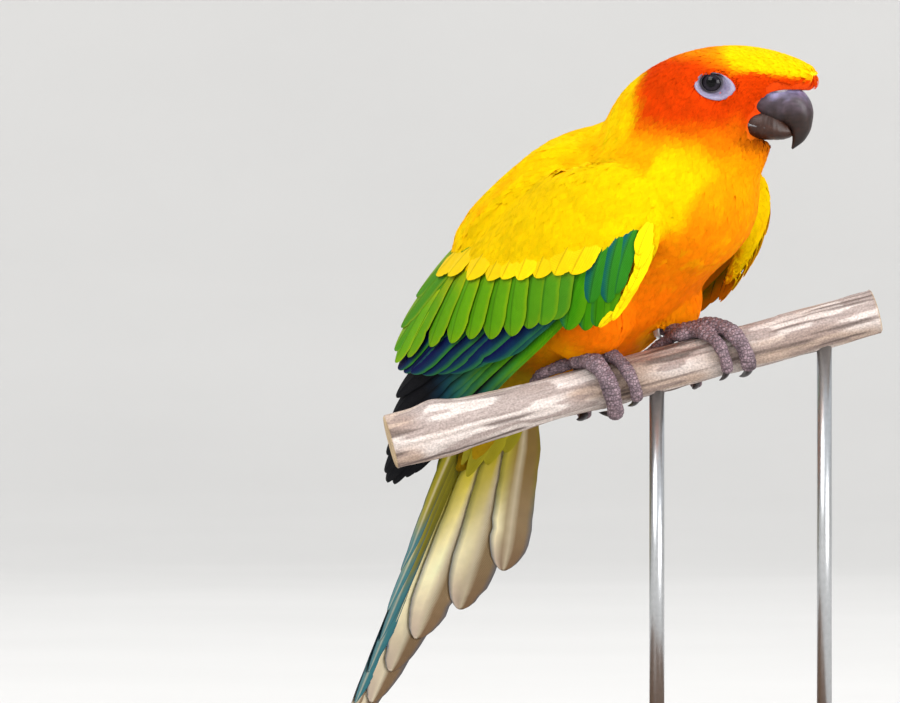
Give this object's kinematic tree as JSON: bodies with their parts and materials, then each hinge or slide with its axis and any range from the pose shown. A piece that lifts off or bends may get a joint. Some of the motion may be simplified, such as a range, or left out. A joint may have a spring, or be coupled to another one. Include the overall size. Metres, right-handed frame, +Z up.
{
  "type": "display model of a sun conure",
  "caption": "Life-size still model of a sun conure parrot with folded wings and a long tail, gripping a cut branch held over a flat base by rods.",
  "frame": {"origin": "centre of the base's underside", "axes": "+Z up; the viewer of the picture stands on the -Y side; +X is to the viewer's right, and the bird faces +X and towards the viewer"},
  "size_m": [0.1806, 0.1437, 0.2472],
  "materials": {
    "head_plumage": "soft matte feathers, orange-red face and yellow crown",
    "neck_plumage": "soft matte feathers, golden yellow",
    "breast_plumage": "soft matte feathers, orange with yellow",
    "thigh_plumage": "soft matte feathers, orange-yellow",
    "wing_plumage": "matte vanes, yellow coverts, green greater coverts, dark blue flight feathers",
    "tail_plumage": "matte vanes, olive with blue tips, grey-brown below",
    "bill": "satin horn, near black",
    "eye": "wet gloss, dark brown iris with a black pupil",
    "foot_skin": "scaly skin, purplish grey-brown",
    "claw": "satin horn, black",
    "ring": "satin pale metal",
    "perch_wood": "weathered bare wood, pale with grey-brown cracks",
    "base_wood": "dark stained wood, satin",
    "rod_steel": "satin steel"
  },
  "bodies": {
    "root": {"torso": "breast_plumage", "neck": "neck_plumage", "head": "head_plumage", "wing_right": "wing_plumage", "wing_left": "wing_plumage", "tail": "tail_plumage", "thigh_right": "thigh_plumage", "thigh_left": "thigh_plumage", "bill_upper": "bill", "bill_lower": "bill", "eye_left": "eye", "eye_right": "eye", "perch": "perch_wood", "foot_right": "foot_skin", "foot_left": "foot_skin", "claw_right_1": "claw", "claw_right_2": "claw", "claw_right_3": "claw", "claw_right_4": "claw", "claw_left_1": "claw", "claw_left_2": "claw", "claw_left_3": "claw", "claw_left_4": "claw", "leg_ring": "ring", "stand_base": "base_wood", "stand_rod_1": "rod_steel", "stand_rod_2": "rod_steel"}
  },
  "joints": []
}
